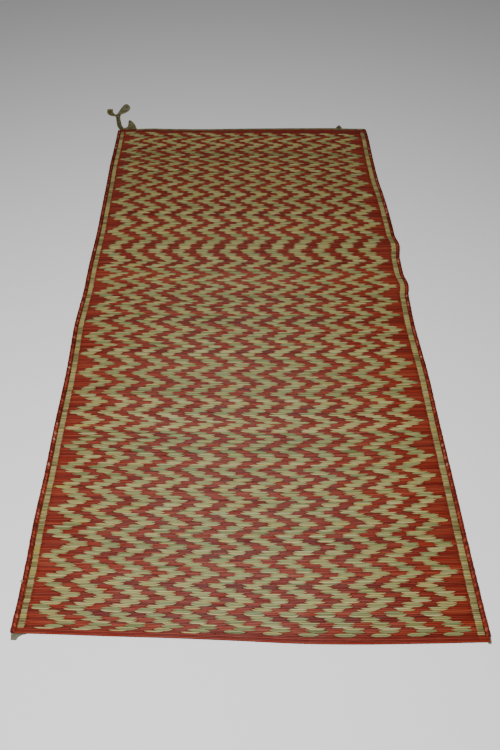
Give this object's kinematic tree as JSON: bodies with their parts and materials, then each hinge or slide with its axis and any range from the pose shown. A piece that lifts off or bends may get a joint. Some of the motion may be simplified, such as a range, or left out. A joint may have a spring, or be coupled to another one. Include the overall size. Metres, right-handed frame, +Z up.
{
  "type": "grass floor mat",
  "caption": "Woven grass floor mat with a red and natural zigzag pattern, plaited red side edges and a tie.",
  "frame": {"origin": "on the floor, at the middle of the box of all its pieces but the tie", "axes": "+Y along the mat from its near end to the end with the tie, +X across it to the right, +Z up"},
  "size_m": [0.9698, 1.9978, 0.0065],
  "materials": {
    "woven_grass": "matte dried grass, red and natural",
    "plaited_edge": "matte dried grass, red",
    "olive_tape": "matte cotton tape, dark olive"
  },
  "bodies": {
    "root": {"mat": "woven_grass", "edge_left": "plaited_edge", "edge_right": "plaited_edge", "tape_far": "olive_tape", "tape_near": "olive_tape", "tape_end_near": "olive_tape", "tab_far": "olive_tape", "tie_stalk": "olive_tape", "tie_knot": "olive_tape", "tie_loop": "olive_tape", "tie_end": "olive_tape", "tie_flap": "olive_tape"}
  },
  "joints": []
}
